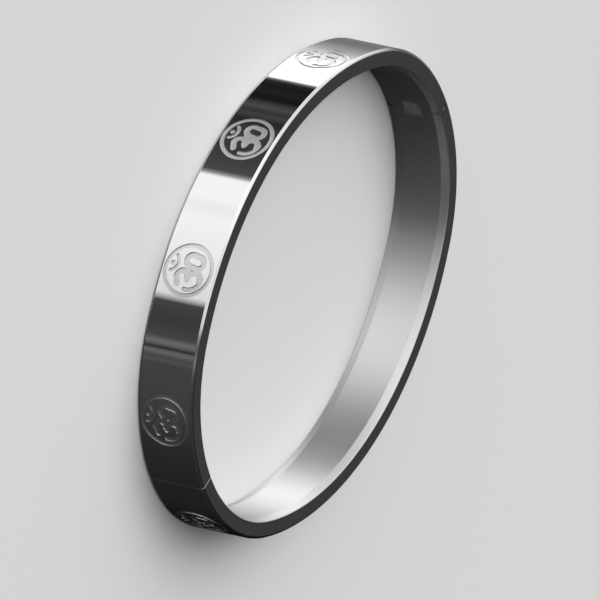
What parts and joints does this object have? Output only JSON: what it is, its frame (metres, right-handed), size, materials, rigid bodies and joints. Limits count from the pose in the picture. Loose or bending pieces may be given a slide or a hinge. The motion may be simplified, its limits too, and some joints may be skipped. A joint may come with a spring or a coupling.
{
  "type": "kada bangle",
  "caption": "Hinged oval steel kada bangle: a flat polished band in two halves with a pin hinge, a tongue clasp and etched roundels.",
  "frame": {"origin": "middle of the ring, on the surface that the lower rim rests on", "axes": "+Z along the axis of the ring, up when the bangle lies on its rim; +X towards the clasp, along the long way of the oval; the hinge is at -X and the front half at -Y"},
  "size_m": [0.0694, 0.0554, 0.008],
  "materials": {
    "polished_band": "mirror polished, with matte etched roundels",
    "pin_steel": "ground",
    "tongue_steel": "satin"
  },
  "bodies": {
    "front": {"front_half": "polished_band", "hinge_pin": "pin_steel"},
    "back": {"back_half": "polished_band", "clasp_tongue": "tongue_steel"}
  },
  "joints": [
    {"name": "band_hinge", "type": "hinge", "parent": "front", "child": "back", "pos_m": [-0.03345, 0, 0.004], "axis": [0, 0, 1], "range_deg": [0, 45]}
  ]
}
